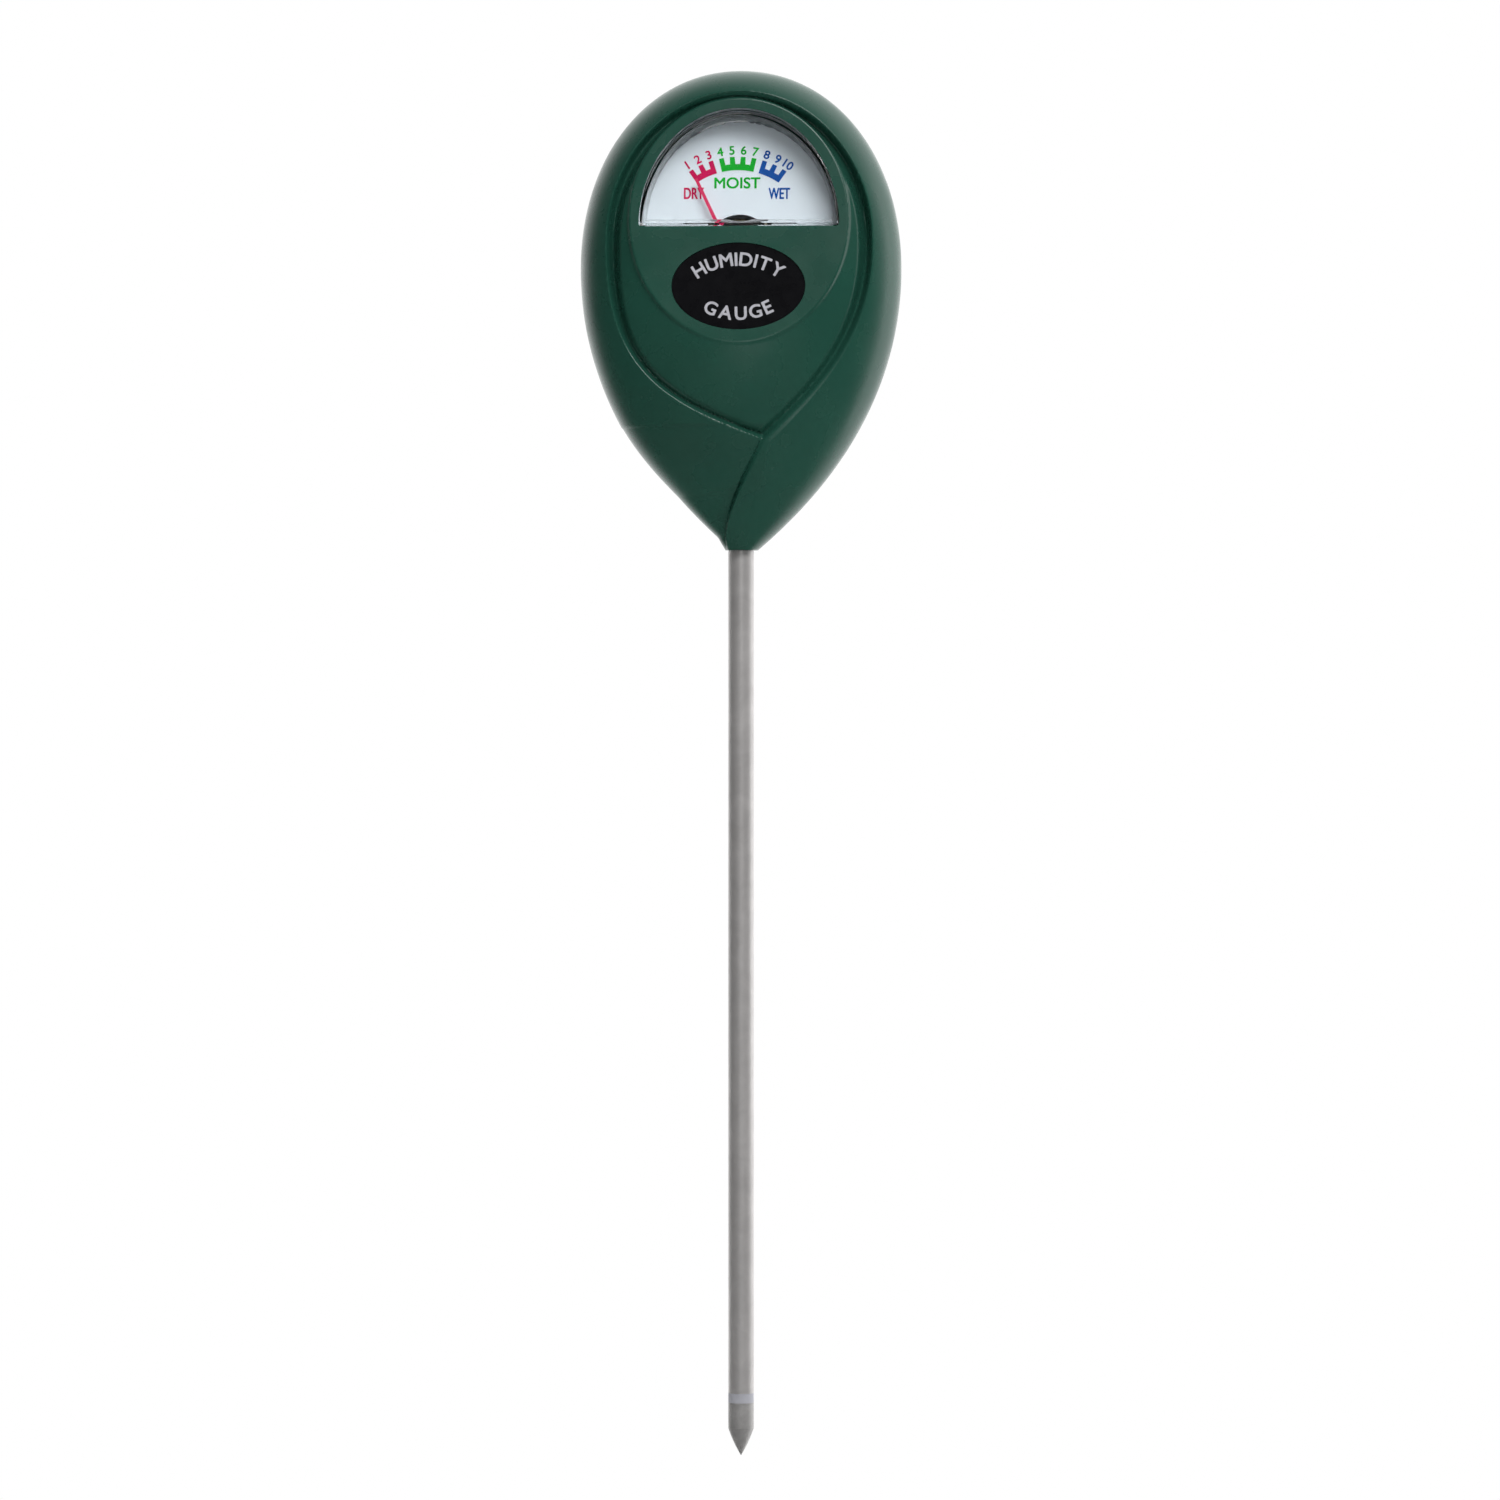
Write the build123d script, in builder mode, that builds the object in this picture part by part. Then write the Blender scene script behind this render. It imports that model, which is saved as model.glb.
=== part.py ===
from build123d import *
from math import cos, pi, radians, sin, tan
import os

os.makedirs("parts", exist_ok=True)

# A soil moisture meter: an egg-shaped plastic housing with a dial behind a clear lens, on a
# long two-metal probe. Millimetres. The origin is the point of the probe, +Z runs up the
# probe, and the dial faces -Y.

# ------------------------------------------------------------------ housing
total_length = 260.0
neck_z = 170.0
widest_z = 222.7
head_half_width = 30.15
front_depth = 17.2
rear_depth = 15.6
egg_power = 2.08
cavity_floor_z = 184.0
front_wall = 2.8
rear_wall = 1.8
side_wall = 2.2
panel_recess = 1.0
lobe_step = 1.6
lobe_step_top_z = 191.0
lobe_step_slope = 0.145
front_boss_radius = 2.6
front_boss_depth = 5.8
low_front_boss_depth = 13.0
rear_boss_radius = 3.2
pilot_radius = 1.0
pilot_depth = 4.5
shank_hole_radius = 1.15
counterbore_radius = 2.1
from_base = (Align.CENTER, Align.CENTER, Align.MIN)

# ------------------------------------------------------------------ flat dial pad on the front
face_tilt = 9.0
face_depth = 11.9
face_z = 229.9
face_wall = 1.8
pad_v = 1.3
pad_half_width = 20.5
pad_half_height = 23.4
window_half_width = 18.7
window_height = 22.6
badge_v = -11.4
badge_half_width = 12.34
badge_half_height = 8.17
badge_recess = 0.9
badge_thickness = 0.7
lens_gap = 0.1
lens_wall = 1.2
lens_rise = 0.6
flange_margin = 1.0

# ------------------------------------------------------------------ movement behind the dial
pivot_v = -7.6
rest_angle = 24.8
needle_travel_down = 2.0
needle_travel_up = 51.2
needle_length = 19.5
needle_thickness = 0.2
needle_w = -4.6
dial_back_w = -6.5
dial_thickness = 0.5
yoke_outer_radius = 10.5
yoke_inner_radius = 7.6
core_radius = 5.2
coil_half_width = 5.6
coil_breadth = 3.0
coil_front_w = -7.6
coil_rear_w = -16.4
yoke_front_w = -8.0
yoke_rear_w = -16.0
tray_floor = 1.4
bridge_front_w = -2.6
bridge_thickness = 0.8
rear_bridge_w = -18.6
post_u = 9.05
post_radius = 1.2
bolt_radius = 0.6
jewel_radius = 1.2
staff_radius = 0.35
bearing_gap = 0.08
spring_radius = 4.4
stop_distance = 6.9
stop_radius = 0.35
boss_radius = 2.4
terminal_hole_radius = 0.85
meter_screw_u = 14.0
meter_screw_v = -15.0
dial_screw_u = 14.5
dial_screw_v = -6.0

# ------------------------------------------------------------------ probe
tube_radius = 2.4
tube_neck_radius = 2.2
tube_bore = 1.9
tube_bottom_z = 11.75
tube_top_z = 189.0
bush_bottom_z = 9.96
tip_shoulder_z = 5.17
rod_radius = 0.8
sleeve_radius = 1.8
sleeve_top_z = 191.0
spigot_top_z = 18.0
rod_bottom_z = 6.0
slide_gap = 0.05
rod_top_z = 195.0
collar_z = 176.0
collar_height = 4.0
collar_radius = 4.0

# grams per cubic millimetre, for balancing the needle
plastic_density = 0.0011
brass_density = 0.0085

# The face plane: u to the right, v up the dial, w out towards the reader.
face_normal = (0, -cos(radians(face_tilt)), sin(radians(face_tilt)))
face = Plane(origin=(0, -face_depth, face_z), x_dir=(1, 0, 0), z_dir=face_normal)


def on_face(u=0, v=0, w=0):
    """The face plane moved to a point given in its own directions."""
    return Plane(origin=face.from_local_coords((u, v, w)), x_dir=(1, 0, 0), z_dir=face_normal)


def on_needle(along=0, w=0, turn=0):
    """A plane whose local Y runs out from the pivot, turned from the needle at rest."""
    angle = radians(rest_angle + turn)
    pivot = on_face(0, pivot_v, w)
    across = pivot.x_dir * cos(angle) + pivot.y_dir * sin(angle)
    outward = pivot.y_dir * cos(angle) - pivot.x_dir * sin(angle)
    return Plane(origin=pivot.origin + outward * along, x_dir=across, z_dir=face_normal)


def save(piece, name):
    """Label a finished piece and write it as its own file."""
    piece.part.label = name
    export_step(piece.part, f"parts/{name}.step")


# ------------------------------------------------------------------ housing halves
def egg_share(z, top, square, fourth):
    """The share of the widest size left at a height: a superellipse above, a quartic below."""
    if z >= widest_z:
        rise = (z - widest_z) / (top - widest_z)
        return (1 - rise**egg_power) ** (1 / egg_power)
    fall = (widest_z - z) / (widest_z - neck_z)
    return 1 - square * fall**2 - fourth * fall**4


def lobe_slimming(z):
    """How far the left lobe stands inside the right one near the neck."""
    down_the_side = (lobe_step_top_z - z) * lobe_step_slope
    up_from_neck = 0.3 + (z - neck_z) * 0.55
    return min(lobe_step, down_the_side, up_from_neck)


def half_body(depth, front, side_inset=0, face_inset=0, low=neck_z, slim_side=0, slim_face=0):
    """One half of the egg, cut at the parting plane, lofted through half-ellipse sections."""
    top = total_length - max(side_inset, face_inset)
    falls = (1, 0.94, 0.88, 0.8, 0.72, 0.64, 0.56, 0.42, 0.28, 0.14)
    heights = [widest_z - fall * (widest_z - neck_z) for fall in falls]
    heights = [low] + [z for z in heights if z > low + 1]
    crown_angles = (0, 16, 32, 46, 58, 68, 76, 82, 86, 88.4)
    heights += [widest_z + (top - widest_z) * sin(radians(angle)) for angle in crown_angles]
    with BuildPart() as half:
        for z in heights:
            above = z >= widest_z
            width_share = egg_share(z, top, 0.76, 0.134)
            depth_share = egg_share(z, top, 0.70, 0.09)
            right = (head_half_width - side_inset) * width_share
            deep = (depth - face_inset) * depth_share
            if not above:
                right = head_half_width * width_share - side_inset
                deep = depth * depth_share - face_inset
            left = right - slim_side * lobe_slimming(z) if z < lobe_step_top_z + 2 else right
            deep = deep - slim_face * lobe_slimming(z) if z < lobe_step_top_z + 2 else deep
            first, second = (left, right) if front else (right, left)
            start = 180 if front else 0
            with BuildSketch(Plane.XY.offset(z)):
                with BuildLine():
                    near = EllipticalCenterArc((0, 0), first, deep, start_angle=start, arc_size=90)
                    far = EllipticalCenterArc((0, 0), second, deep, start_angle=start + 90, arc_size=90)
                    Line(far @ 1, near @ 0)
                make_face()
        loft()
    return half.part


def housing_screw_places():
    """Middle of each housing screw on the parting plane, with the depth of its rear seat."""
    return ((-19.5, 243.0, 4.0), (19.5, 243.0, 4.0), (0.0, 204.0, 7.0))


def pad_prism(margin, w_low, w_high):
    """The pad's ellipse as a straight block between two levels of the face plane."""
    with BuildPart() as prism:
        with BuildSketch(on_face(0, pad_v, w_low)):
            Ellipse(pad_half_width + margin, pad_half_height + margin)
        extrude(amount=w_high - w_low)
    return prism.part


def window_prism(inset, w_low, w_high):
    """Half an ellipse on a flat bottom edge, as a straight block on the face plane."""
    with BuildPart() as prism:
        with BuildSketch(on_face(0, inset, w_low)):
            with BuildLine():
                half_width = window_half_width - inset
                height = window_height - 2 * inset
                arch = EllipticalCenterArc((0, 0), half_width, height, start_angle=0, arc_size=180)
                Line(arch @ 1, arch @ 0)
            make_face()
        extrude(amount=w_high - w_low)
    return prism.part


# The sunken panel: an elliptic top and two curves that meet in a V above the neck.
panel_middle_z = 227.4
panel_half_width = 24.7
panel_top = 27.8
panel_point = (4.5, 190.5)
with BuildPart() as panel_tool:
    with BuildSketch(Plane.XZ):
        with BuildLine():
            middle = (0, panel_middle_z)
            brow = EllipticalCenterArc(middle, panel_half_width, panel_top, start_angle=0, arc_size=180)
            Bezier(brow @ 1, (-25.0, 203.0), (-13.4, 197.0), panel_point)
            Bezier(panel_point, (13.6, 198.6), (25.2, 210.0), brow @ 0)
        make_face()
    extrude(amount=front_depth + 1)
    add(half_body(front_depth, True, panel_recess, panel_recess), mode=Mode.SUBTRACT)
    add(pad_prism(0, -8, 0), mode=Mode.SUBTRACT)

# The left lobe passes behind the right one along an S-shaped edge down to the neck.
with BuildPart() as lobe_tool:
    with BuildSketch(Plane.XZ):
        with BuildLine():
            Bezier((4.5, 192.5), (2.2, 185.0), (-2.8, 178.0), (-3.2, 172.0))
            Polyline((-3.2, 172.0), (-2.4, 169.0), (-30, 169.0), (-30, 192.5), (4.5, 192.5))
        make_face()
    extrude(amount=front_depth + 1)
    add(half_body(front_depth, True, slim_side=1, slim_face=1), mode=Mode.SUBTRACT)

# Both halves are cut for the tube and for the collar that keeps it from pulling out.
with BuildPart() as neck_tool:
    with Locations((0, 0, neck_z - 1)):
        Cylinder(tube_neck_radius + slide_gap, 20, align=from_base)
    with Locations((0, 0, collar_z - 0.1)):
        Cylinder(collar_radius + 0.1, collar_height + 0.2, align=from_base)

# The front half's hollow leaves the dial wall, the screw bosses and two posts for the movement.
with BuildPart() as front_cavity:
    add(half_body(front_depth, True, side_wall, front_wall, cavity_floor_z))
    add(pad_prism(1.6, -face_wall, 12), mode=Mode.SUBTRACT)
    for x, z, seat in housing_screw_places():
        with Locations(Plane((x, 0, z), z_dir=(0, -1, 0))):
            boss_depth = front_boss_depth if x else low_front_boss_depth
            Cylinder(front_boss_radius, boss_depth, align=from_base, mode=Mode.SUBTRACT)
    for side in (-1, 1):
        with BuildSketch(on_face(side * meter_screw_u, meter_screw_v, dial_back_w)):
            Circle(boss_radius)
        extrude(amount=-dial_back_w, mode=Mode.SUBTRACT)

with BuildPart() as front_shell:
    add(half_body(front_depth, True))
    add(front_cavity.part, mode=Mode.SUBTRACT)
    add(panel_tool.part, mode=Mode.SUBTRACT)
    add(lobe_tool.part, mode=Mode.SUBTRACT)
    add(pad_prism(0, 0, 8), mode=Mode.SUBTRACT)
    add(window_prism(0, -5, 1), mode=Mode.SUBTRACT)
    add(window_prism(-flange_margin - 0.1, -5, -face_wall), mode=Mode.SUBTRACT)
    with BuildSketch(on_face(0, badge_v, -badge_recess)):
        Ellipse(badge_half_width + 0.1, badge_half_height + 0.1)
    extrude(amount=3, mode=Mode.SUBTRACT)
    for side in (-1, 1):
        with BuildSketch(on_face(side * meter_screw_u, meter_screw_v, dial_back_w)):
            Circle(pilot_radius + slide_gap)
        extrude(amount=3.6, mode=Mode.SUBTRACT)
    for x, z, seat in housing_screw_places():
        with Locations(Plane((x, 0, z), z_dir=(0, -1, 0))):
            Cylinder(pilot_radius, pilot_depth, align=from_base, mode=Mode.SUBTRACT)
    add(neck_tool.part, mode=Mode.SUBTRACT)
save(front_shell, "front_shell")

with BuildPart() as rear_cavity:
    add(half_body(rear_depth, False, side_wall, rear_wall, cavity_floor_z))
    for x, z, seat in housing_screw_places():
        with Locations(Plane((x, 0, z), z_dir=(0, 1, 0))):
            Cylinder(rear_boss_radius, rear_depth, align=from_base, mode=Mode.SUBTRACT)

with BuildPart() as rear_shell:
    add(half_body(rear_depth, False, slim_side=1))
    add(rear_cavity.part, mode=Mode.SUBTRACT)
    for x, z, seat in housing_screw_places():
        with Locations(Plane((x, -0.5, z), z_dir=(0, 1, 0))):
            Cylinder(shank_hole_radius, rear_depth, align=from_base, mode=Mode.SUBTRACT)
        with Locations(Plane((x, seat, z), z_dir=(0, 1, 0))):
            Cylinder(counterbore_radius, rear_depth, align=from_base, mode=Mode.SUBTRACT)
    add(neck_tool.part, mode=Mode.SUBTRACT)
save(rear_shell, "rear_shell")

# ------------------------------------------------------------------ front trim
with BuildPart() as badge:
    with BuildSketch(on_face(0, badge_v, -badge_recess)):
        Ellipse(badge_half_width, badge_half_height)
    extrude(amount=badge_thickness)
save(badge, "badge")

# The lens is a clear cap with a flange behind the dial wall. Its bottom wall stops short, so
# that the needle passes under it.
lens_bottom_w = -3.0
dial_front_w = dial_back_w + dial_thickness
with BuildPart() as lens:
    add(window_prism(lens_gap, dial_front_w, lens_rise))
    add(window_prism(-flange_margin, -face_wall - 1, -face_wall))
    add(window_prism(lens_gap + lens_wall, dial_front_w - 1, lens_rise - lens_wall), mode=Mode.SUBTRACT)
    with BuildSketch(on_face(0, 0.7, dial_front_w - 1)):
        Rectangle(2 * (window_half_width - lens_gap - lens_wall), 1.4)
    extrude(amount=lens_bottom_w - dial_front_w + 1, mode=Mode.SUBTRACT)
    front_rim = lens.edges().group_by(Axis((0, 0, 0), face_normal))[-1]
    chamfer(front_rim, 0.35)
save(lens, "lens")

# ------------------------------------------------------------------ dial and movement
plate_half_width = 18.2
plate_height = 22.1
plate_bottom_v = -8.5
tray_half_width = 18.4
tray_height = 22.3
tray_bottom_v = -19.6
tray_wall = 1.2
tray_rear_w = yoke_rear_w - tray_floor
notch_radius = 6.0
notch_v = -2.4
slot_v = -5.5
slot_width_u = 21.2
slot_height_v = 8.0
dial_hole_radius = 0.85
dial_pilot_radius = 0.8
dial_pilot_depth = 4.5
terminal_u = 11.5
terminal_v = 5.0

with BuildPart() as dial_plate:
    with BuildSketch(on_face(0, 0, dial_back_w)):
        with BuildLine():
            size = (plate_half_width, plate_height)
            arch = EllipticalCenterArc((0, 0), *size, start_angle=0, arc_size=180)
            corners = [(-plate_half_width, plate_bottom_v), (plate_half_width, plate_bottom_v)]
            Polyline(arch @ 1, *corners, arch @ 0)
        make_face()
        with Locations((0, slot_v)):
            Rectangle(slot_width_u, slot_height_v, mode=Mode.SUBTRACT)
        with Locations((0, notch_v)):
            Circle(notch_radius, mode=Mode.SUBTRACT)
        with Locations((-dial_screw_u, dial_screw_v), (dial_screw_u, dial_screw_v)):
            Circle(dial_hole_radius, mode=Mode.SUBTRACT)
    extrude(amount=dial_thickness)
save(dial_plate, "dial_plate")

with BuildPart() as meter_base:
    for inset, start_w, kind in ((0, tray_rear_w, Mode.ADD), (tray_wall, yoke_rear_w, Mode.SUBTRACT)):
        with BuildSketch(on_face(0, 0, start_w)):
            with BuildLine():
                wide = tray_half_width - inset
                low = tray_bottom_v + inset
                arch = EllipticalCenterArc((0, 0), wide, tray_height - inset, start_angle=0, arc_size=180)
                Polyline(arch @ 1, (-wide, low), (wide, low), arch @ 0)
            make_face()
        extrude(amount=dial_back_w - start_w, mode=kind)
    with BuildSketch(on_face(0, 0, yoke_rear_w)):
        with Locations((-dial_screw_u, dial_screw_v), (dial_screw_u, dial_screw_v)):
            Circle(boss_radius - 0.2)
        with Locations((-meter_screw_u, meter_screw_v), (meter_screw_u, meter_screw_v)):
            Circle(boss_radius)
    extrude(amount=dial_back_w - yoke_rear_w)
    with BuildSketch(on_face(0, pivot_v, yoke_rear_w)):
        Circle(yoke_outer_radius + 1.1)
        Circle(yoke_outer_radius + 0.05, mode=Mode.SUBTRACT)
    extrude(amount=4)
    with BuildSketch(on_face(0, pivot_v, tray_rear_w)):
        Circle(yoke_inner_radius + 0.3)
        with Locations((-post_u, 0), (post_u, 0)):
            Circle(bolt_radius)
    extrude(amount=tray_floor, mode=Mode.SUBTRACT)
    with BuildSketch(on_face(0, 0, tray_rear_w)):
        with Locations((-meter_screw_u, meter_screw_v), (meter_screw_u, meter_screw_v)):
            Circle(shank_hole_radius)
    extrude(amount=dial_back_w - tray_rear_w, mode=Mode.SUBTRACT)
    with BuildSketch(on_face(0, 0, tray_rear_w)):
        with Locations((-terminal_u, terminal_v), (terminal_u, terminal_v)):
            Circle(terminal_hole_radius)
    extrude(amount=tray_floor, mode=Mode.SUBTRACT)
    with BuildSketch(on_face(0, 0, dial_back_w)):
        with Locations((-dial_screw_u, dial_screw_v), (dial_screw_u, dial_screw_v)):
            Circle(dial_pilot_radius)
    extrude(amount=-dial_pilot_depth, mode=Mode.SUBTRACT)
save(meter_base, "meter_base")

with BuildPart() as yoke:
    with BuildSketch(on_face(0, pivot_v, yoke_rear_w)):
        Circle(yoke_outer_radius)
        Circle(yoke_inner_radius, mode=Mode.SUBTRACT)
        with Locations((-post_u, 0), (post_u, 0)):
            Circle(bolt_radius, mode=Mode.SUBTRACT)
    extrude(amount=yoke_front_w - yoke_rear_w)
save(yoke, "yoke")

with BuildPart() as core_magnet:
    with BuildSketch(on_face(0, pivot_v, yoke_rear_w + 1)):
        Circle(core_radius)
    extrude(amount=yoke_front_w - yoke_rear_w - 2)
save(core_magnet, "core_magnet")

support_width = 3.2
support_length = 4.0
for number, side in ((1, 1), (2, -1)):
    with BuildPart() as core_support:
        with BuildSketch(on_face(0, pivot_v, yoke_rear_w + 2)):
            Circle(yoke_inner_radius)
            Circle(core_radius, mode=Mode.SUBTRACT)
            with Locations((0, side * core_radius)):
                Rectangle(support_width, 2 * core_radius, mode=Mode.INTERSECT)
        extrude(amount=support_length)
    save(core_support, f"core_support_{number}")

# The moving coil is a loop round the core, square to the needle.
axis_plane = on_needle()
coil_plane = Plane(origin=axis_plane.origin, x_dir=axis_plane.x_dir, z_dir=axis_plane.y_dir)
coil_middle = -(coil_front_w + coil_rear_w) / 2
coil_length = coil_front_w - coil_rear_w
former_wall = 0.4
winding_thickness = 1.0
inner_length = coil_length - 2 * former_wall
with BuildPart() as coil_former:
    with BuildSketch(coil_plane):
        with Locations((0, coil_middle)):
            Rectangle(2 * (coil_half_width + former_wall), inner_length)
            Rectangle(2 * coil_half_width, inner_length - 2 * former_wall, mode=Mode.SUBTRACT)
    extrude(amount=coil_breadth / 2, both=True)
save(coil_former, "coil_former")

with BuildPart() as coil_winding:
    with BuildSketch(coil_plane):
        with Locations((0, coil_middle)):
            Rectangle(2 * (coil_half_width + former_wall + winding_thickness), coil_length)
            Rectangle(2 * (coil_half_width + former_wall), inner_length, mode=Mode.SUBTRACT)
    extrude(amount=coil_breadth / 2 - 0.2, both=True)
save(coil_winding, "coil_winding")


def stack(plane_at, *steps):
    """Discs on one axis: each step is a radius with the levels where it starts and ends."""
    with BuildPart() as pile:
        for radius, w_low, w_high in steps:
            with BuildSketch(plane_at(w_low)):
                Circle(radius)
            extrude(amount=w_high - w_low)
    return pile.part


def on_pivot(w):
    """The pivot axis at one level."""
    return on_face(0, pivot_v, w)


foot_radius = 1.3
foot_height = 0.4
front_staff_w = -3.7
rear_staff_w = -18.9
with BuildPart() as front_pivot:
    foot = (foot_radius, coil_front_w, coil_front_w + foot_height)
    staff = (staff_radius, coil_front_w, front_staff_w)
    add(stack(on_pivot, foot, staff))
    with BuildSketch(on_pivot(front_staff_w)):
        Circle(staff_radius)
    extrude(amount=0.3, taper=40)
save(front_pivot, "front_pivot")

collet_radius = 0.8
with BuildPart() as rear_pivot:
    foot = (foot_radius, coil_rear_w - foot_height, coil_rear_w)
    staff = (staff_radius, rear_staff_w, coil_rear_w)
    collet = (collet_radius, coil_rear_w - 1.6, coil_rear_w - foot_height)
    add(stack(on_pivot, foot, staff, collet))
    with BuildSketch(on_pivot(rear_staff_w)):
        Circle(staff_radius)
    extrude(amount=-0.3, taper=40)
save(rear_pivot, "rear_pivot")

# ------------------------------------------------------------------ needle, hub and weights
hub_radius = 1.1
ring_radius = 1.3
arm_width = 0.7
tail_length = 4.3
side_arm_length = 3.4
blade_root_width = 0.8
blade_tip_width = 0.55
with BuildPart() as needle:
    with BuildSketch(on_needle(0, needle_w)):
        with BuildLine():
            root = blade_root_width / 2
            tip = blade_tip_width / 2
            Polyline((-root, 0), (-tip, needle_length), (tip, needle_length), (root, 0), close=True)
        make_face()
        with Locations((0, -tail_length / 2)):
            Rectangle(arm_width, tail_length)
        Rectangle(2 * side_arm_length, arm_width)
        Circle(ring_radius)
        Circle(staff_radius, mode=Mode.SUBTRACT)
    extrude(amount=needle_thickness)
save(needle, "needle")

with BuildPart() as needle_hub:
    hub = (hub_radius, needle_w - 0.8, needle_w)
    collet = (collet_radius, needle_w - 2, needle_w - 0.8)
    add(stack(on_pivot, hub, collet))
    with BuildSketch(on_pivot(needle_w - 2)):
        Circle(staff_radius)
    extrude(amount=2, mode=Mode.SUBTRACT)
save(needle_hub, "needle_hub")

# The tail weight's length brings the needle's balance to the pivot; the side weights match.
weight_radius = 0.75
weight_middle = 3.2
side_weight_middle = 2.6
side_weight_length = 1.0
slot_height = needle_thickness + 0.02
slot_width = arm_width + 0.02
weight_area = pi * weight_radius**2 - slot_width * slot_height
needle_reach = axis_plane.to_local_coords(needle.part.center(CenterOf.MASS)).Y
needle_moment = needle.part.volume * plastic_density * needle_reach
tail_weight_length = needle_moment / (weight_area * brass_density * weight_middle)
tail_weight = (180, weight_middle, tail_weight_length)
side_weights = [(turn, side_weight_middle, side_weight_length) for turn in (90, -90)]
weights = [tail_weight, *side_weights]
for number, (turn, reach, length) in enumerate(weights, start=1):
    arm = on_needle(reach - length / 2, needle_w + needle_thickness / 2, turn)
    with BuildPart() as balance_weight:
        with BuildSketch(Plane(origin=arm.origin, x_dir=arm.x_dir, z_dir=arm.y_dir)):
            Circle(weight_radius)
            Rectangle(slot_width, slot_height, mode=Mode.SUBTRACT)
        extrude(amount=length)
    save(balance_weight, f"balance_weight_{number}")


def hairspring(w_low, direction):
    """A flat spiral from the collet out to just inside the anchor post below the pivot."""
    turns = 3
    inner = collet_radius + 0.12
    steps = 16 * turns
    with BuildPart() as spiral:
        with BuildSketch(on_pivot(w_low)):
            with BuildLine():
                edges = []
                for side in (-0.12, 0.12):
                    points = []
                    for step in range(steps + 1):
                        angle = -pi / 2 - direction * 2 * pi * turns * (1 - step / steps)
                        radius = inner + (spring_radius - inner) * step / steps + side
                        points.append((radius * cos(angle), radius * sin(angle)))
                    edges.append(Spline(*points))
                Line(edges[0] @ 0, edges[1] @ 0)
                Line(edges[0] @ 1, edges[1] @ 1)
            make_face()
        extrude(amount=0.6)
    return spiral


save(hairspring(needle_w - 1.8, 1), "front_hairspring")
save(hairspring(coil_rear_w - 1.5, -1), "rear_hairspring")

# ------------------------------------------------------------------ bridges, jewels and stops
bridge_back_w = bridge_front_w - bridge_thickness
stop_margin = 7.5
low_stop_angle = rest_angle + needle_travel_down + stop_margin
high_stop_angle = needle_travel_up - rest_angle + stop_margin
stop_places = []
for side, angle in ((-1, low_stop_angle), (1, high_stop_angle)):
    stop_u = side * stop_distance * sin(radians(angle))
    stop_v = stop_distance * cos(radians(angle))
    stop_places.append((stop_u, stop_v))

anchor_reach = 5.0
anchor_radius = 0.4
with BuildPart() as front_bridge:
    with BuildSketch(on_pivot(bridge_back_w)):
        RectangleRounded(2 * post_u + 3.2, 4, 1.5)
        for stop_u, stop_v in stop_places:
            with Locations((stop_u, (stop_v + 0.6) / 2)):
                Rectangle(1.7, stop_v + 0.6)
        Circle(jewel_radius, mode=Mode.SUBTRACT)
        with Locations((-post_u, 0), (post_u, 0)):
            Circle(bolt_radius, mode=Mode.SUBTRACT)
    extrude(amount=bridge_thickness)
save(front_bridge, "front_bridge")

with BuildPart() as rear_bridge:
    with BuildSketch(on_pivot(rear_bridge_w - 1)):
        RectangleRounded(2 * post_u + 3.2, 4.4, 1.5)
        with Locations((0, -anchor_reach / 2)):
            Rectangle(2, anchor_reach + 1.2)
    extrude(amount=1)
    with BuildSketch(on_pivot(rear_bridge_w)):
        with Locations((-post_u, 0), (post_u, 0)):
            Circle(1.6)
    extrude(amount=tray_rear_w - rear_bridge_w)
    with BuildSketch(on_pivot(rear_bridge_w)):
        with Locations((0, -anchor_reach)):
            Circle(anchor_radius)
    extrude(amount=1.4)
    with BuildSketch(on_pivot(rear_bridge_w - 1)):
        Circle(jewel_radius)
        with Locations((-post_u, 0), (post_u, 0)):
            Circle(bolt_radius)
    extrude(amount=1 + tray_rear_w - rear_bridge_w, mode=Mode.SUBTRACT)
save(rear_bridge, "rear_bridge")


def jewel_screw(w_bearing, w_head):
    """A slotted screw with a blind bearing hole at one end."""
    out = 1 if w_head > w_bearing else -1
    with BuildPart() as screw:
        with BuildSketch(on_pivot(w_bearing)):
            Circle(jewel_radius)
        extrude(amount=w_head - w_bearing)
        with BuildSketch(on_pivot(w_bearing)):
            Circle(staff_radius + bearing_gap)
        extrude(amount=out * 0.65, mode=Mode.SUBTRACT)
        with BuildSketch(on_pivot(w_head)):
            Rectangle(3, 0.4)
        extrude(amount=-out * 0.4, mode=Mode.SUBTRACT)
    return screw


save(jewel_screw(front_staff_w - 0.2, -2.0), "front_jewel_screw")
save(jewel_screw(rear_staff_w + 0.3, -20.1), "rear_jewel_screw")

for number, side in ((1, -1), (2, 1)):
    with BuildPart() as bridge_post:
        with BuildSketch(on_face(side * post_u, pivot_v, yoke_front_w)):
            Circle(post_radius)
            Circle(bolt_radius, mode=Mode.SUBTRACT)
        extrude(amount=bridge_back_w - yoke_front_w)
    save(bridge_post, f"bridge_post_{number}")
    stop_u, stop_v = stop_places[number - 1]
    with BuildPart() as needle_stop:
        with BuildSketch(on_face(stop_u, pivot_v + stop_v, bridge_back_w)):
            Circle(stop_radius)
        extrude(amount=-1.8)
    save(needle_stop, f"needle_stop_{number}")

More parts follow.
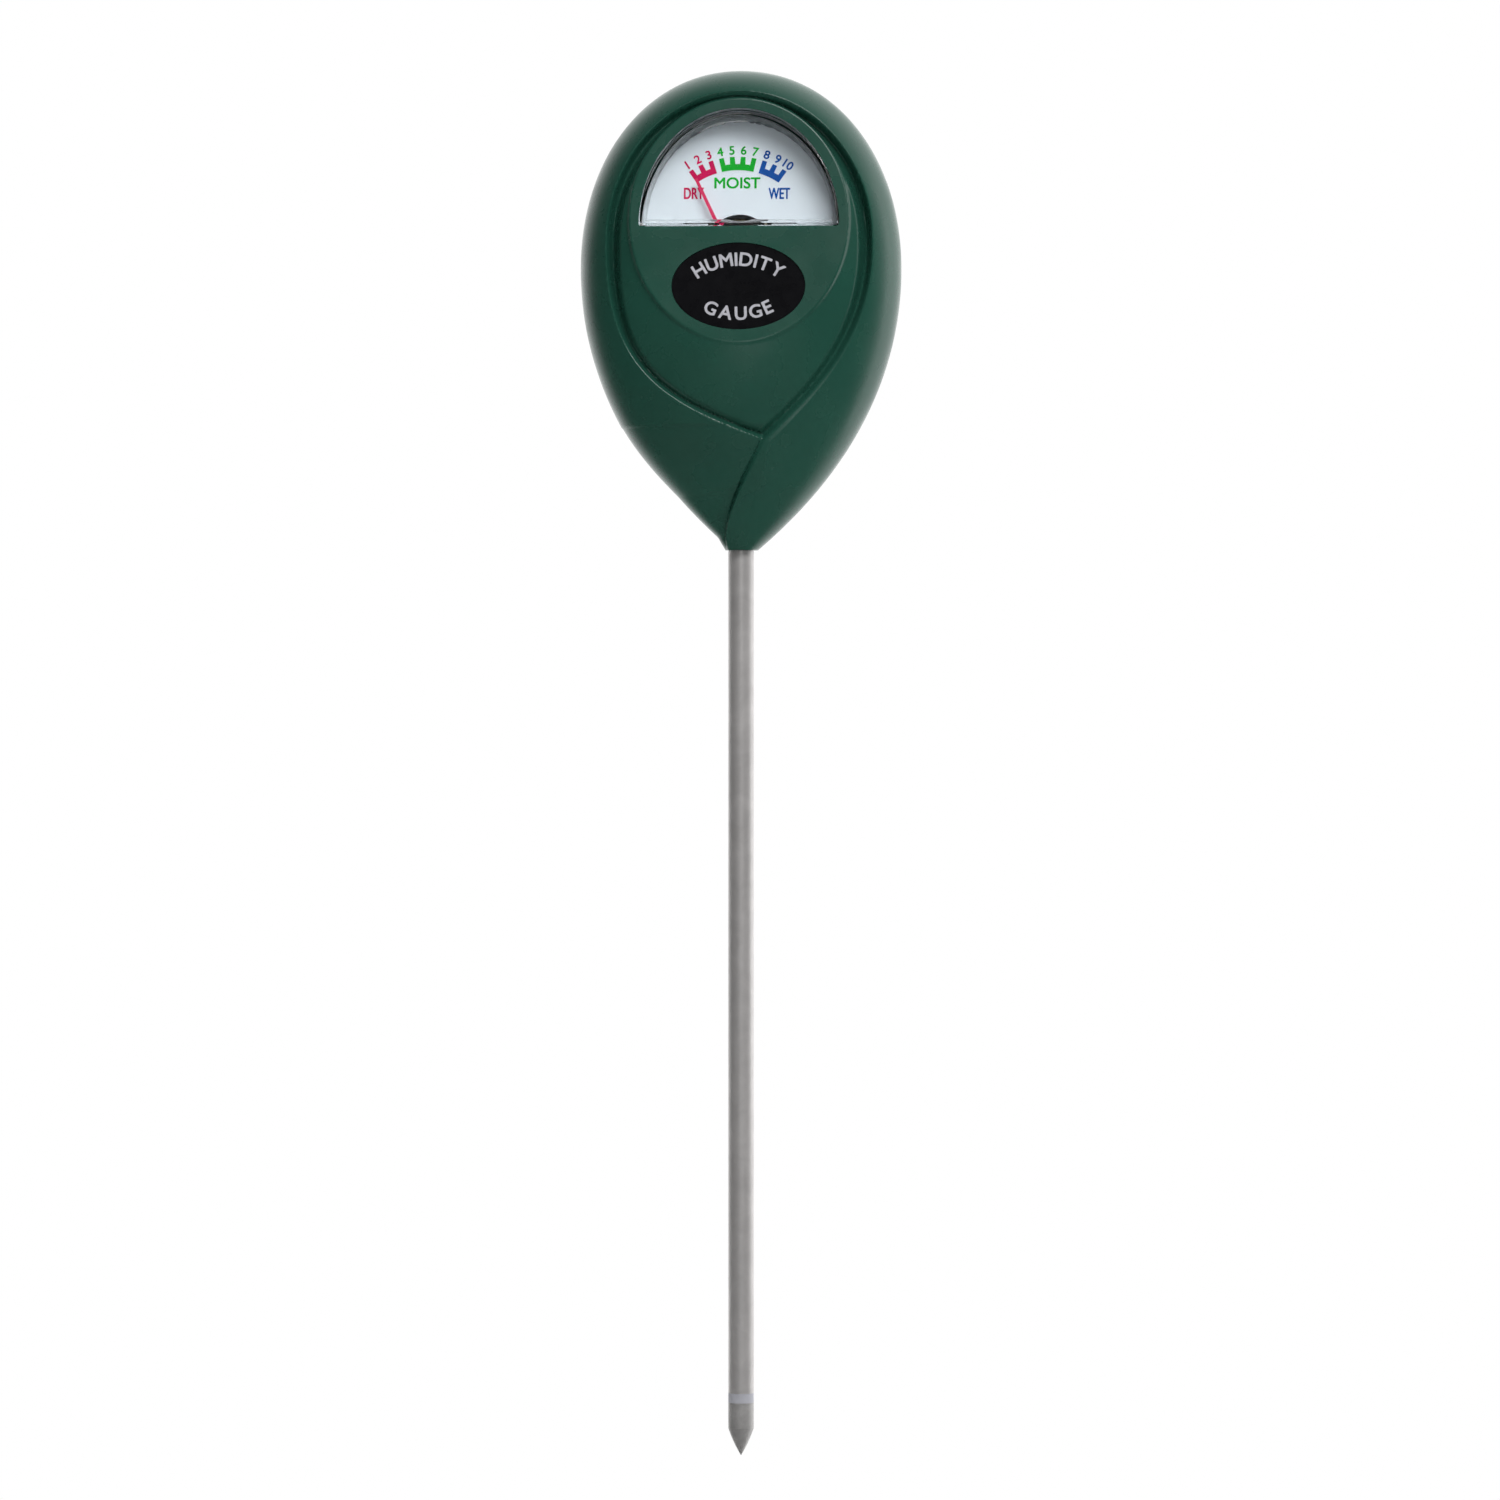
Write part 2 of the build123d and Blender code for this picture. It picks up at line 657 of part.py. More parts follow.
with BuildPart() as zero_adjuster:
    with BuildSketch(on_pivot(bridge_front_w + 0.1)):
        Circle(2.6)
        with Locations((0, -anchor_reach / 2)):
            Rectangle(1.2, anchor_reach + 1)
        Circle(jewel_radius + bearing_gap, mode=Mode.SUBTRACT)
    extrude(amount=0.4)
    with BuildSketch(on_pivot(needle_w - 1.8)):
        with Locations((0, -anchor_reach)):
            Circle(anchor_radius)
    extrude(amount=bridge_front_w + 0.1 - needle_w + 1.8)
save(zero_adjuster, "zero_adjuster")


# ------------------------------------------------------------------ screws
def slotted_screw(place, head_radius, head_height, shank_radius, shank_length):
    """A cheese-head screw: the head rises from the place, and the shank runs back from it."""
    with BuildPart() as screw:
        with BuildSketch(place):
            Circle(head_radius)
        extrude(amount=head_height)
        with BuildSketch(place):
            Circle(shank_radius)
        extrude(amount=-shank_length)
        with BuildSketch(place.offset(head_height)):
            Rectangle(3 * head_radius, 0.3 * head_radius)
        extrude(amount=-0.45 * head_height, mode=Mode.SUBTRACT)
    return screw


bolt_length = bridge_front_w - rear_bridge_w + 1
meter_screw_length = -tray_rear_w - 3.2
for number, side in ((1, -1), (2, 1)):
    bolt_place = on_face(side * post_u, pivot_v, bridge_front_w)
    save(slotted_screw(bolt_place, 1.1, 0.55, bolt_radius - 0.05, bolt_length), f"bridge_screw_{number}")
    dial_place = on_face(side * dial_screw_u, dial_screw_v, dial_front_w)
    save(slotted_screw(dial_place, 1.4, 0.6, 0.75, 4.5), f"dial_screw_{number}")
    rear_point = on_face(side * meter_screw_u, meter_screw_v, tray_rear_w).origin
    meter_place = Plane(origin=rear_point, x_dir=(-1, 0, 0), z_dir=-face.z_dir)
    save(slotted_screw(meter_place, 2.0, 1.2, 1.0, meter_screw_length), f"meter_screw_{number}")

for number, (x, z, seat) in enumerate(housing_screw_places(), start=1):
    seat_place = Plane(origin=(x, seat, z), x_dir=(-1, 0, 0), z_dir=(0, 1, 0))
    save(slotted_screw(seat_place, 2.0, 1.6, 0.98, seat + 4.3), f"housing_screw_{number}")

# ------------------------------------------------------------------ terminals and leads
tag_length = 5.0
lead_radius = 0.6
for side, name in ((1, "positive_terminal"), (-1, "negative_terminal")):
    place = (side * terminal_u, terminal_v)
    with BuildPart() as terminal:
        with BuildSketch(on_face(*place, tray_rear_w - 0.6)):
            Circle(1.8)
            with Locations((0, -tag_length / 2)):
                Rectangle(2.0, tag_length)
        extrude(amount=0.6)
        with BuildSketch(on_face(*place, tray_rear_w)):
            Circle(0.8)
        extrude(amount=tray_floor)
        with BuildSketch(on_face(*place, yoke_rear_w)):
            Circle(1.4)
        extrude(amount=0.4)
    save(terminal, name)


def lead(points):
    """A round wire along straight runs joined by arcs as large as the runs allow."""
    corners = [Vector(*point) for point in points]
    radii = []
    for before, here, after in zip(corners, corners[1:], corners[2:]):
        run = min((here - before).length, (after - here).length)
        turn = (here - before).get_angle(after - here)
        radii.append(0.45 * run / tan(radians(turn) / 2))
    with BuildPart() as wire:
        with BuildLine():
            route = FilletPolyline(*corners, radius=radii)
        with BuildSketch(Plane(origin=route @ 0, z_dir=route % 0)):
            Circle(lead_radius)
        sweep()
    return wire


lead_start_w = tray_rear_w - 0.6 - lead_radius
clip_top_z = 187.6
rod_tag_top_z = 193.0
rod_start = on_face(terminal_u, terminal_v - tag_length + 1, lead_start_w).origin
tube_start = on_face(-terminal_u, terminal_v - tag_length + 1, lead_start_w).origin
rod_route = [rod_start, (11.0, 8.2, 217.0), (8.2, 7.6, 205.0), (4.6, 2.2, 199.5)]
rod_route += [(4.3, 0.0, 196.5), (4.3, 0.0, rod_tag_top_z)]
tube_route = [tube_start, (-11.0, 8.2, 216.0), (-8.6, 6.8, 203.0), (-6.0, 2.4, 195.0)]
tube_route += [(-5.4, 0.0, 191.0), (-5.4, 0.0, clip_top_z)]
save(lead(rod_route), "rod_lead")
save(lead(tube_route), "tube_lead")

# ------------------------------------------------------------------ probe


def ring(inner, outer, low, high):
    """A round tube on the probe's axis."""
    with BuildPart() as tube:
        with BuildSketch(Plane.XY.offset(low)):
            Circle(outer)
            if inner:
                Circle(inner, mode=Mode.SUBTRACT)
        extrude(amount=high - low)
    return tube


# The tube is swaged down where the housing grips it.
with BuildPart() as probe_tube:
    add(ring(tube_bore, tube_radius, tube_bottom_z, neck_z - 0.1).part)
    add(ring(tube_bore, tube_neck_radius, neck_z - 0.1, tube_top_z).part)
save(probe_tube, "probe_tube")
save(ring(tube_neck_radius, collar_radius, collar_z, collar_z + collar_height), "probe_collar")
save(ring(rod_radius + 2 * slide_gap, sleeve_radius, spigot_top_z, sleeve_top_z), "rod_sleeve")
save(ring(0, rod_radius, rod_bottom_z, rod_top_z), "inner_rod")

# The bush stands flush with the tube, and its spigot fits inside it.
with BuildPart() as insulator_bush:
    add(ring(rod_radius + slide_gap, tube_radius, bush_bottom_z, tube_bottom_z).part)
    add(ring(rod_radius + slide_gap, tube_bore - slide_gap, tube_bottom_z, spigot_top_z).part)
save(insulator_bush, "insulator_bush")

with BuildPart() as probe_tip:
    with BuildSketch(Plane.XZ):
        with BuildLine():
            shoulder = (tube_radius, tip_shoulder_z)
            ThreePointArc((0, 0), (1.4, 2.6), shoulder)
            Polyline(shoulder, (tube_radius, bush_bottom_z), (0, bush_bottom_z), (0, 0))
        make_face()
    revolve(axis=Axis.Z)
    with BuildSketch(Plane.XY.offset(rod_bottom_z)):
        Circle(rod_radius)
    extrude(amount=bush_bottom_z - rod_bottom_z, mode=Mode.SUBTRACT)
save(probe_tip, "probe_tip")

with BuildPart() as tube_clip:
    with BuildSketch(Plane.XY.offset(clip_top_z - 3)):
        Circle(3.0)
    extrude(amount=3)
    with BuildSketch(Plane.XY.offset(clip_top_z - 0.8)):
        with Locations((-4.5, 0)):
            Rectangle(4.6, 2.8)
    extrude(amount=0.8)
    with BuildSketch(Plane.XY.offset(clip_top_z - 3)):
        Circle(tube_neck_radius)
    extrude(amount=3, mode=Mode.SUBTRACT)
save(tube_clip, "tube_clip")

with BuildPart() as rod_tag:
    with BuildSketch(Plane.XY.offset(rod_tag_top_z - 0.8)):
        Circle(2.0)
        with Locations((3, 0)):
            Rectangle(4.6, 2.4)
        Circle(rod_radius, mode=Mode.SUBTRACT)
    extrude(amount=0.8)
save(rod_tag, "rod_tag")
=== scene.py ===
from math import cos, pi, radians, sin

import bpy
import numpy as np
from mathutils import Matrix, Vector


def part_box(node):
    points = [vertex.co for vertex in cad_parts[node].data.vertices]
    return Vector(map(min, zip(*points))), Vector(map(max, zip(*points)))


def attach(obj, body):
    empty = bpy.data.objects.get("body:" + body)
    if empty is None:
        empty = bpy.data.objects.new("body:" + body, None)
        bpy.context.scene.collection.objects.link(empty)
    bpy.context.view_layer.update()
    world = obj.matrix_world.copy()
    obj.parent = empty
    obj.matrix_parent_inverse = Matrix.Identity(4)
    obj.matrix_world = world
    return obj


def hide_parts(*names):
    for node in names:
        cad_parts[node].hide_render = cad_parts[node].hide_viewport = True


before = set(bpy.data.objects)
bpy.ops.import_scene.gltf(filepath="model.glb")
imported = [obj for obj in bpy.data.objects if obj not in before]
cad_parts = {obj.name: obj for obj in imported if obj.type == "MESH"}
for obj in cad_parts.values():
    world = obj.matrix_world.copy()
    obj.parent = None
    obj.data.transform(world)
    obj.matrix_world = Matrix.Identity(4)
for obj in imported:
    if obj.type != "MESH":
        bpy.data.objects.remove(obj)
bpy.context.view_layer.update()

# A soil moisture meter. Lengths below are millimetres in the frame's own axes, and turn into
# metres where a mesh is made.
MM = 0.001

# ------------------------------------------------------------------ housing shape
NECK_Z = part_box("front_shell")[0].z / MM
TOP_Z = 260.0
WIDEST_Z = 222.7
HALF_WIDTH = 30.14
FRONT_DEPTH = 17.2
REAR_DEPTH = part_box("rear_shell")[1].y / MM
EGG_POWER = 2.08
# How much narrower and shallower the egg is at the neck: a squared and a fourth-power share.
WIDTH_FALL = (0.76, 0.134)
DEPTH_FALL = (0.70, 0.09)
SHELL_COLUMNS = 321
SHELL_LOWER_ROWS = 190
SHELL_UPPER_ROWS = 150
LAST_ROW_ANGLE = 88.4
# The halves' edges are rounded a little where they meet.
EDGE_ROUND = 0.14
EDGE_ROUND_SPAN = 0.03
SHARP_EDGE = radians(48)

# ------------------------------------------------------------------ inside the housing
CAVITY_FLOOR = 184.0
# How far the hollow's sides, front and back stand inside the outer skin, in each half.
FRONT_INSETS = (3.6, 3.6, 3.6)
REAR_INSETS = (2.2, 2.8, 1.8)
BOSS_RADIUS = 3.2
COUNTERBORE_RADIUS = 2.1
SCREW_HOLE_RADIUS = 1.15
# Each housing screw's x and z, and the depth of its seat behind the parting plane.
SCREW_PLACES = ((-19.5, 243.0, 4.0), (19.5, 243.0, 4.0), (0.0, 204.0, 7.0))
# Lowest and highest point, and radius.
PROBE_BORE = (168, 190, 2.25)
COLLAR_POCKET = (175.9, 180.1, 4.1)

# ------------------------------------------------------------------ flat dial pad
FACE_TILT = radians(9)
FACE_DEPTH = 11.9
FACE_Z = 229.9
FACE_WALL = 1.8
PAD_V = 1.3
PAD_HALF_WIDTH = 20.5
PAD_HALF_HEIGHT = 23.4
WINDOW_HALF_WIDTH = 18.7
WINDOW_HEIGHT = 22.6
BADGE_V = -11.4
BADGE_HALF_WIDTH = 12.44
BADGE_HALF_HEIGHT = 8.27
BADGE_RECESS = 0.9
WINDOW_CORNER = 0.35
WINDOW_CORNER_ANGLE = 0.03

# ------------------------------------------------------------------ leaf panel and lobes
PANEL_MIDDLE_Z = 227.4
PANEL_HALF_WIDTH = 24.7
PANEL_TOP = 27.8
PANEL_POINT = (4.5, 190.5)
PANEL_RECESS = 1.0
# Each has its size at the panel's point, and what it gains beside the dial.
GROOVE_DEPTH = (1.8, 1.0)
WALL_WIDTH = (0.75, 0.4)
RISE_WIDTH = (0.9, 0.7)
GROOVE_GAIN_HEIGHTS = (196, 226)
WALL_START = 0.3
LOBE_TOP_Z = 191.0
LOBE_SOFTENING = 7
LOBE_SLOPE = 0.145
LOBE_STEP = 1.6
LOBE_NECK_STEP = 0.3
LOBE_NECK_SLOPE = 0.55
SEAM_HALF_TOP_Z = 193
# The bevel on the right lobe's edge: its width at each height, and its depth.
BEVEL_HEIGHTS = (172, 174, 176.5, 180.5, 183.5, 188, 208, 224)
BEVEL_WIDTHS = (5.8, 4.7, 3.8, 3.1, 2.8, 1.5, 0.6, 0.3)
BEVEL_DEPTH = 0.5

# The dial's own directions, u across, v up and w out, turned into the frame's.
FACE = Matrix((
    (1, 0, 0, 0),
    (0, sin(FACE_TILT), -cos(FACE_TILT), -FACE_DEPTH),
    (0, cos(FACE_TILT), sin(FACE_TILT), FACE_Z),
    (0, 0, 0, 1),
))


def smooth_step(low, high, value):
    """0 below low, 1 above high, and an S-shaped rise between them."""
    share = np.clip((value - low) / (high - low), 0, 1)
    return share * share * (3 - 2 * share)


def egg_share(z, top, square, fourth):
    """The share of the widest size left at each height."""
    rise = np.clip((z - WIDEST_Z) / (top - WIDEST_Z), 0, 1)
    fall = np.clip((WIDEST_Z - z) / (WIDEST_Z - NECK_Z), 0, 1)
    above = (1 - rise**EGG_POWER) ** (1 / EGG_POWER)
    return np.where(z > WIDEST_Z, above, 1 - square * fall**2 - fourth * fall**4)


def half_width_at(z):
    """Half the egg's width at each height."""
    return HALF_WIDTH * egg_share(z, TOP_Z, *WIDTH_FALL)


def depth_at(z, depth):
    """The egg's depth at each height, from its depth at the widest."""
    return depth * egg_share(z, TOP_Z, *DEPTH_FALL)


def lobe_slimming(z):
    """How far the left lobe stands inside the right one near the neck."""
    below = LOBE_TOP_Z - z
    eased = np.clip(below + LOBE_SOFTENING, 0, 2 * LOBE_SOFTENING) ** 2 / (4 * LOBE_SOFTENING)
    softened = np.where(below > LOBE_SOFTENING, below, eased)
    down_the_side = softened * LOBE_SLOPE
    up_from_neck = LOBE_NECK_STEP + (z - NECK_Z) * LOBE_NECK_SLOPE
    return np.clip(np.minimum(down_the_side, up_from_neck), 0, LOBE_STEP)


def bezier(points, count):
    """Points along a cubic Bezier curve."""
    t = np.linspace(0, 1, count)[:, None]
    a, b, c, d = (np.array(point, float) for point in points)
    return a * (1 - t) ** 3 + 3 * b * t * (1 - t) ** 2 + 3 * c * t**2 * (1 - t) + d * t**3


def ellipse_arc(centre, half_width, half_height, start, end, count):
    """Points along an elliptic arc, angles in radians."""
    angle = np.linspace(start, end, count)
    across = centre[0] + half_width * np.cos(angle)
    up = centre[1] + half_height * np.sin(angle)
    return np.stack([across, up], axis=1)


def distance_to(line, x, z):
    """Distance from every point of the grid to a polyline, and its side: + is on the left."""
    shape = x.shape
    px, pz = x.ravel(), z.ravel()
    best = np.full(px.shape, 1e9)
    side = np.ones(px.shape)
    for start, end in zip(line[:-1], line[1:]):
        run = end - start
        along = np.clip(((px - start[0]) * run[0] + (pz - start[1]) * run[1]) / (run @ run), 0, 1)
        dx = px - start[0] - along * run[0]
        dz = pz - start[1] - along * run[1]
        distance = dx * dx + dz * dz
        nearer = distance < best
        best = np.where(nearer, distance, best)
        side = np.where(nearer, np.sign(run[0] * dz - run[1] * dx), side)
    return (np.sqrt(best) * side).reshape(shape)


# The panel's edge runs anticlockwise, so its inside is on the left.
panel_right = (PANEL_HALF_WIDTH, PANEL_MIDDLE_Z)
panel_left = (-PANEL_HALF_WIDTH, PANEL_MIDDLE_Z)
right_edge = bezier((PANEL_POINT, (13.6, 198.6), (25.2, 210.0), panel_right), 60)
brow = ellipse_arc((0, PANEL_MIDDLE_Z), PANEL_HALF_WIDTH, PANEL_TOP, 0, pi, 120)
left_edge = bezier((panel_left, (-25.0, 203.0), (-13.4, 197.0), PANEL_POINT), 60)
panel_edge = np.concatenate([right_edge, brow[1:], left_edge[1:]])
# The seam where the right lobe passes over the left one runs down from the panel's point.
seam_tail = bezier((PANEL_POINT, (2.2, 185.0), (-2.8, 178.0), (-3.2, 172.0)), 50)
seam = np.concatenate([right_edge[::-1], seam_tail[1:], [[-2.6, NECK_Z - 1]]])


def groove_depth(inside, z):
    """The panel's edge in section: a rounded wall, a groove, and the panel's own level.

    The groove is widest and deepest round the dial, and narrows towards the panel's point.
    """
    beside_dial = smooth_step(*GROOVE_GAIN_HEIGHTS, z)
    groove = GROOVE_DEPTH[0] + GROOVE_DEPTH[1] * beside_dial
    wall_width = WALL_WIDTH[0] + WALL_WIDTH[1] * beside_dial
    rise_width = RISE_WIDTH[0] + RISE_WIDTH[1] * beside_dial
    wall = smooth_step(0, 1, (inside + WALL_START) / (wall_width + WALL_START))
    rise = smooth_step(0, 1, (inside - wall_width) / rise_width)
    return groove * wall - (groove - PANEL_RECESS) * rise


def front_surface(z, angle_sine, angle_cosine):
    """Places every point of the front half: lobes, sunken panel, seam, bevel and flat pad."""
    full_width = half_width_at(z)
    seam_distance = distance_to(seam, full_width * angle_cosine, z)
    on_left_lobe = smooth_step(-0.45, 0.25, -seam_distance) * (z < SEAM_HALF_TOP_Z)
    slim = lobe_slimming(z) * on_left_lobe
    wide = full_width - slim
    x = wide * angle_cosine
    deep = depth_at(z, FRONT_DEPTH) - slim

    bevel_width = np.interp(z, BEVEL_HEIGHTS, BEVEL_WIDTHS)
    bevel_share = np.clip(1 - seam_distance / bevel_width, 0, 1) * (seam_distance > -0.4)
    bevel = BEVEL_DEPTH * bevel_share * smooth_step(172, 184, z) * (1 - smooth_step(206, 226, z))
    inside = distance_to(panel_edge, x, z)
    bevel = bevel * (1 - smooth_step(-0.2, 0.6, inside))
    sunk = groove_depth(inside, z) + bevel

    # Sinking the surface by the same amount all round makes a smaller egg inside the first.
    across = np.clip(x / np.maximum(wide - sunk, 0.2), -1, 1)
    inner_depth = (deep - sunk) * np.sqrt(1 - across**2)
    near_side = smooth_step(0.0, 0.25, angle_sine)
    depth = (deep * angle_sine) * (1 - near_side) + inner_depth * near_side

    pad_v = (z - FACE_Z) / cos(FACE_TILT)
    radial = np.sqrt((x / PAD_HALF_WIDTH) ** 2 + ((pad_v - PAD_V) / PAD_HALF_HEIGHT) ** 2)
    pad_depth = FACE_DEPTH - (z - FACE_Z) * np.tan(FACE_TILT)
    pad_inside = (1 - radial) * PAD_HALF_WIDTH
    on_pad = smooth_step(-0.35, 0.2, pad_inside)
    depth = depth * (1 - on_pad) + pad_depth * on_pad
    return x, -depth


def egg_heights(low, top, lower_count, upper_count):
    """Heights from the neck to the crown, closer together towards the crown."""
    lower = np.linspace(low, WIDEST_Z, lower_count, endpoint=False)
    angle = np.radians(np.linspace(0, LAST_ROW_ANGLE, upper_count))
    return np.concatenate([lower, WIDEST_Z + (top - WIDEST_Z) * np.sin(angle)])


def make_object(name, vertices, faces):
    """A mesh object from millimetre points."""
    mesh = bpy.data.meshes.new(name)
    mesh.from_pydata((np.asarray(vertices, float) * MM).tolist(), [], faces)
    mesh.validate()
    mesh.update()
    made = bpy.data.objects.new(name, mesh)
    bpy.context.scene.collection.objects.link(made)
    return made


def grid_faces(rows, columns):
    """Quads of a grid whose points are numbered row by row."""
    index = np.arange(rows * columns).reshape(rows, columns)
    quads = np.stack([index[:-1, :-1], index[:-1, 1:], index[1:, 1:], index[1:, :-1]], axis=-1)
    return quads.reshape(-1, 4).tolist()


def half_shell(name, front):
    """One closed half of the egg: its outer skin, flat back, crown and neck faces."""
    columns = SHELL_COLUMNS
    heights = egg_heights(NECK_Z, TOP_Z, SHELL_LOWER_ROWS, SHELL_UPPER_ROWS)
    rows = len(heights)
    angle = np.linspace(0, pi, columns)
    z, theta = np.meshgrid(heights, angle, indexing="ij")
    angle_sine, angle_cosine = np.sin(theta), np.cos(theta)
    if front:
        x, y = front_surface(z, angle_sine, angle_cosine)
    else:
        slim = np.where(angle_cosine < 0, lobe_slimming(z), 0)
        x = (half_width_at(z) - slim) * angle_cosine
        y = depth_at(z, REAR_DEPTH) * angle_sine
    edge_round = EDGE_ROUND * (1 - smooth_step(0.0, EDGE_ROUND_SPAN, angle_sine))
    x = x - np.sign(angle_cosine) * edge_round
    y[:, 0] = 0
    y[:, -1] = 0
    vertices = np.stack([x, y, z], axis=-1).reshape(-1, 3)
    faces = grid_faces(rows, columns)
    left = np.arange(rows) * columns + columns - 1
    right = np.arange(rows) * columns
    for row in range(rows - 1):
        faces.append([right[row + 1], left[row + 1], left[row], right[row]])
    faces.append(list(range(columns))[::-1])
    faces.append(list(range((rows - 1) * columns, rows * columns)))
    if not front:
        faces = [face[::-1] for face in faces]
    return make_object(name, vertices, faces)


def lofted(name, rings):
    """A closed solid through rings of equally many points."""
    count = len(rings[0])
    vertices = np.concatenate(rings)
    faces = []
    for ring in range(len(rings) - 1):
        start = ring * count
        for point in range(count):
            after = (point + 1) % count
            faces.append([start + point, start + after, start + count + after, start + count + point])
    faces.append(list(range(count))[::-1])
    faces.append(list(range((len(rings) - 1) * count, len(rings) * count)))
    return make_object(name, vertices, faces)


def cavity_solid(side_wall, front_wall, rear_wall):
    """The hollow inside a half, with the dial wall's flat in front."""
    heights = egg_heights(CAVITY_FLOOR, TOP_Z - front_wall, 24, 22)
    angle = np.linspace(0, 2 * pi, 96, endpoint=False)
    rings = []
    for z in heights:
        if z > WIDEST_Z:
            share = egg_share(z, TOP_Z - front_wall, 0, 0)
            wide = (HALF_WIDTH - side_wall) * share
            front = (FRONT_DEPTH - front_wall) * share
            rear = (REAR_DEPTH - rear_wall) * share
        else:
            wide = half_width_at(z) - side_wall
            front = depth_at(z, FRONT_DEPTH) - front_wall
            rear = depth_at(z, REAR_DEPTH) - rear_wall
        x = wide * np.cos(angle)
        y = np.where(np.sin(angle) < 0, front, rear) * np.sin(angle)
        wall = FACE_DEPTH - (z - FACE_Z) * np.tan(FACE_TILT) - FACE_WALL
        rings.append(np.stack([x, np.maximum(y, -wall), np.full_like(x, z)], axis=1))
    return lofted("cavity", rings)


def cylinder(name, start, end, radius, count=64):
    """A closed round bar between two points."""
    start, end = Vector(start), Vector(end)
    turn = (end - start).to_track_quat("Z", "Y").to_matrix()
    angle = np.linspace(0, 2 * pi, count, endpoint=False)
    rings = []
    for centre in (start, end):
        ring = [centre + turn @ Vector((radius * cos(a), radius * sin(a), 0)) for a in angle]
        rings.append(np.array([list(point) for point in ring]))
    return lofted(name, rings)


def face_prism(name, outline, w_low, w_high):
    """A closed prism square to the dial, from points given in the dial's own directions."""
    rings = []
    for w in (w_low, w_high):
        rings.append(np.array([list(FACE @ Vector((u, v, w))) for u, v in outline]))
    return lofted(name, rings)


def window_outline(inset):
    """Half an ellipse on a flat bottom edge with small rounded corners."""
    half_width = WINDOW_HALF_WIDTH - inset
    height = WINDOW_HEIGHT - 2 * inset
    first, last = WINDOW_CORNER_ANGLE, pi - WINDOW_CORNER_ANGLE
    arch = ellipse_arc((0, inset), half_width, height, first, last, 110)
    flat_end = half_width - WINDOW_CORNER
    return [(flat_end, inset), *arch.tolist(), (-flat_end, inset)]


def cut(target, *cutters):
    """Takes the cutters out of a solid and removes them."""
    for cutter in cutters:
        modifier = target.modifiers.new("cut", "BOOLEAN")
        modifier.operation = "DIFFERENCE"
        modifier.solver = "MANIFOLD"
        modifier.object = cutter
    bpy.context.view_layer.update()
    evaluated = target.evaluated_get(bpy.context.evaluated_depsgraph_get())
    mesh = bpy.data.meshes.new_from_object(evaluated)
    target.modifiers.clear()
    old = target.data
    target.data = mesh
    bpy.data.meshes.remove(old)
    for cutter in cutters:
        bpy.data.objects.remove(cutter)
    mesh.shade_smooth()
    mesh.set_sharp_from_angle(angle=SHARP_EDGE)


def hollow(side_wall, front_wall, rear_wall):
    """The cavity with the screw bosses left standing in it."""
    space = cavity_solid(side_wall, front_wall, rear_wall)
    bosses = [cylinder("boss", (x, -20, z), (x, 20, z), BOSS_RADIUS) for x, z, seat in SCREW_PLACES]
    cut(space, *bosses)
    return space


def neck_bores():
    """The hole for the probe and the pocket for its collar."""
    return [
        cylinder(name, (0, 0, low), (0, 0, high), radius)
        for name, (low, high, radius) in (("bore", PROBE_BORE), ("pocket", COLLAR_POCKET))
    ]


front_skin = half_shell("front_skin", True)
badge_outline = ellipse_arc((0, BADGE_V), BADGE_HALF_WIDTH, BADGE_HALF_HEIGHT, 0, 2 * pi, 161)[:-1]
cut(
    front_skin,
    hollow(*FRONT_INSETS),
    face_prism("window", window_outline(0), -6, 2),
    face_prism("badge_pocket", badge_outline, -BADGE_RECESS, 3),
    *neck_bores(),
)
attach(front_skin, "housing")
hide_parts("front_shell")

rear_skin = half_shell("rear_skin", False)
screw_holes = []
for x, z, seat in SCREW_PLACES:
    screw_holes.append(cylinder("counterbore", (x, seat, z), (x, 30, z), COUNTERBORE_RADIUS))
    screw_holes.append(cylinder("screw_hole", (x, -1, z), (x, seat + 1, z), SCREW_HOLE_RADIUS))
cut(rear_skin, hollow(*REAR_INSETS), *neck_bores(), *screw_holes)
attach(rear_skin, "housing")
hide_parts("rear_shell")

# ------------------------------------------------------------------ print on the dial and badge
DIAL_W = -6.0
BADGE_W = -0.2
PRINT_THICKNESS = 0.03
SCALE_U = -0.45
SCALE_V = -1.25
BAND_INNER = 13.4
BAND_OUTER = 14.5
TICK_OUTER = 15.9
TICK_WIDTH = 0.8
TICK_STEP = 7.42
TICK_FIRST = -33.4
DIGIT_RADIUS = 17.2
DIGIT_HEIGHT = 1.6
WORD_HEIGHT = 2.07
BADGE_LETTER_HEIGHT = 2.45
LAYER_STEP = 0.002
# How far the ink spreads beyond each shape's own outline.
BAND_SPREAD = 0.05
DIGIT_SPREAD = 0.06
WORD_SPREAD = 0.07
BADGE_SPREAD = 0.085
SPREAD_DIRECTIONS = np.arange(6) * pi / 3


def flat_text(text):
    """The outline of some text as a flat mesh, with its lower left corner at zero and a height of 1."""
    curve = bpy.data.curves.new("text", "FONT")
    curve.body = text
    curve.resolution_u = 6
    source = bpy.data.objects.new("text", curve)
    bpy.context.scene.collection.objects.link(source)
    bpy.context.view_layer.update()
    mesh = bpy.data.meshes.new_from_object(source.evaluated_get(bpy.context.evaluated_depsgraph_get()))
    points = np.array([vertex.co[:2] for vertex in mesh.vertices])
    faces = [list(face.vertices) for face in mesh.polygons]
    bpy.data.objects.remove(source)
    bpy.data.meshes.remove(mesh)
    points = points - points.min(axis=0)
    return points / points[:, 1].max(), faces


def turned(points, angle):
    """Flat points turned clockwise by an angle in degrees."""
    c, s = cos(radians(angle)), sin(radians(angle))
    return points @ np.array([[c, -s], [s, c]])


